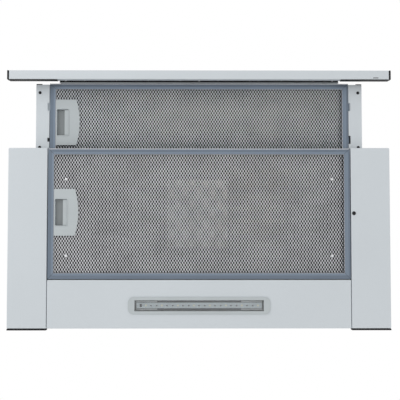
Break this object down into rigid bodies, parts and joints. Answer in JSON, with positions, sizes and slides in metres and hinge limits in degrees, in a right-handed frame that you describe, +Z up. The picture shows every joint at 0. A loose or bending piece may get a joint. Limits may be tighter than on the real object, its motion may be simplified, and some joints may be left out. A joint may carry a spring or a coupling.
{
  "type": "telescopic range hood",
  "caption": "Under-cabinet pull-out range hood: folded-steel casing with a top duct collar, sliding visor with front strip, expanded-metal grease filters and a lamp strip below.",
  "frame": {"origin": "on the casing's top face, on the centreline behind the outlet, where the hood meets the cabinet floor", "axes": "+X to the user's right, -Y towards the user and the way the visor pulls out, +Z up"},
  "size_m": [0.599, 0.4039, 0.1788],
  "materials": {
    "silver_paint": "satin silver-grey paint on folded steel",
    "galvanised_steel": "dull zinc-coated sheet with faint spangle",
    "anodised_frame": "slate-grey satin aluminium channel",
    "filter_mesh_metal": "bright expanded aluminium mesh",
    "light_grey_plastic": "fine-grained light grey moulding",
    "black_plastic": "black moulding with a low sheen",
    "dark_grey_plastic": "dark grey moulding",
    "clear_plastic": "clear lamp window",
    "white_board": "white circuit board with light emitting chips",
    "bright_steel": "bright plated steel"
  },
  "bodies": {
    "casing": {"casing_top": "galvanised_steel", "casing_left": "galvanised_steel", "casing_right": "galvanised_steel", "casing_front": "galvanised_steel", "casing_back": "galvanised_steel", "side_trim_left": "silver_paint", "side_trim_right": "silver_paint", "trim_cap_left": "black_plastic", "trim_cap_right": "black_plastic", "trim_screw": "black_plastic", "rear_panel": "silver_paint", "lamp_bezel": "light_grey_plastic", "lamp_window": "clear_plastic", "lamp_board": "white_board", "lamp_housing": "galvanised_steel", "lamp_driver": "light_grey_plastic", "terminal_box": "light_grey_plastic", "cable_gland": "black_plastic", "outlet_collar": "black_plastic", "damper_pin": "bright_steel", "volute_left": "light_grey_plastic", "volute_right": "light_grey_plastic", "motor_left": "galvanised_steel", "motor_right": "galvanised_steel", "motor_plate_left": "galvanised_steel", "motor_plate_right": "galvanised_steel", "rail_left": "galvanised_steel", "rail_right": "galvanised_steel", "micro_switch": "black_plastic"},
    "visor": {"visor_left": "silver_paint", "visor_right": "silver_paint", "visor_front": "silver_paint", "visor_cover": "silver_paint", "front_strip": "silver_paint", "strip_cap_left": "black_plastic", "strip_cap_right": "black_plastic", "strip_buffer_left": "black_plastic", "strip_buffer_right": "black_plastic", "switch_block": "dark_grey_plastic", "runner_left": "dark_grey_plastic", "runner_right": "dark_grey_plastic", "visor_filter_frame": "anodised_frame", "visor_filter_mesh": "filter_mesh_metal", "visor_filter_pack": "filter_mesh_metal", "visor_latch_housing": "light_grey_plastic"},
    "grease_filter": {"filter_frame": "anodised_frame", "filter_mesh": "filter_mesh_metal", "filter_pack": "filter_mesh_metal", "latch_housing": "light_grey_plastic"},
    "visor_latch": {"visor_latch_slider": "light_grey_plastic"},
    "grease_latch": {"latch_slider": "light_grey_plastic"},
    "fan_low": {"fan_low_button": "black_plastic"},
    "fan_high": {"fan_high_button": "black_plastic"},
    "lamp_switch": {"lamp_button": "black_plastic"},
    "damper_flap_left": {"damper_left": "black_plastic"},
    "damper_flap_right": {"damper_right": "black_plastic"},
    "fan_left": {"impeller_left": "dark_grey_plastic"},
    "fan_right": {"impeller_right": "dark_grey_plastic"},
    "lever": {"switch_lever": "bright_steel"}
  },
  "joints": [
    {"name": "visor_slide", "type": "slide", "parent": "casing", "child": "visor", "axis": [0, -1, 0], "range_m": [-0.105, 0]},
    {"name": "filter_swing", "type": "hinge", "parent": "casing", "child": "grease_filter", "pos_m": [0.235, -0.1175, -0.13377], "axis": [0, -1, 0], "range_deg": [0, 60]},
    {"name": "visor_latch_pull", "type": "slide", "parent": "visor", "child": "visor_latch", "axis": [1, 0, 0], "range_m": [0, 0.005], "stiffness_N_per_m": 300, "springref_m": -0.004},
    {"name": "filter_latch_pull", "type": "slide", "parent": "grease_filter", "child": "grease_latch", "axis": [1, 0, 0], "range_m": [0, 0.005], "stiffness_N_per_m": 300, "springref_m": -0.004},
    {"name": "fan_low_press", "type": "slide", "parent": "visor", "child": "fan_low", "axis": [0, 1, 0], "range_m": [0, 0.002], "stiffness_N_per_m": 400, "springref_m": -0.002},
    {"name": "fan_high_press", "type": "slide", "parent": "visor", "child": "fan_high", "axis": [0, 1, 0], "range_m": [0, 0.002], "stiffness_N_per_m": 400, "springref_m": -0.002},
    {"name": "lamp_press", "type": "slide", "parent": "visor", "child": "lamp_switch", "axis": [0, 1, 0], "range_m": [0, 0.002], "stiffness_N_per_m": 400, "springref_m": -0.002},
    {"name": "damper_left_swing", "type": "hinge", "parent": "casing", "child": "damper_flap_left", "pos_m": [0, -0.114, 0.015], "axis": [0, 1, 0], "range_deg": [0, 75]},
    {"name": "damper_right_swing", "type": "hinge", "parent": "casing", "child": "damper_flap_right", "pos_m": [0, -0.114, 0.015], "axis": [0, -1, 0], "range_deg": [0, 75]},
    {"name": "fan_left_spin", "type": "hinge", "parent": "casing", "child": "fan_left", "pos_m": [0, -0.088, -0.0399], "axis": [1, 0, 0], "continuous": true},
    {"name": "fan_right_spin", "type": "hinge", "parent": "casing", "child": "fan_right", "pos_m": [0, -0.088, -0.0399], "axis": [1, 0, 0], "continuous": true},
    {"name": "switch_lever_press", "type": "hinge", "parent": "casing", "child": "lever", "pos_m": [0.2493, 0.008, -0.08217], "axis": [1, 0, 0], "range_deg": [0, 5], "stiffness_Nm_per_rad": 0.05, "springref_deg": -5.73}
  ]
}
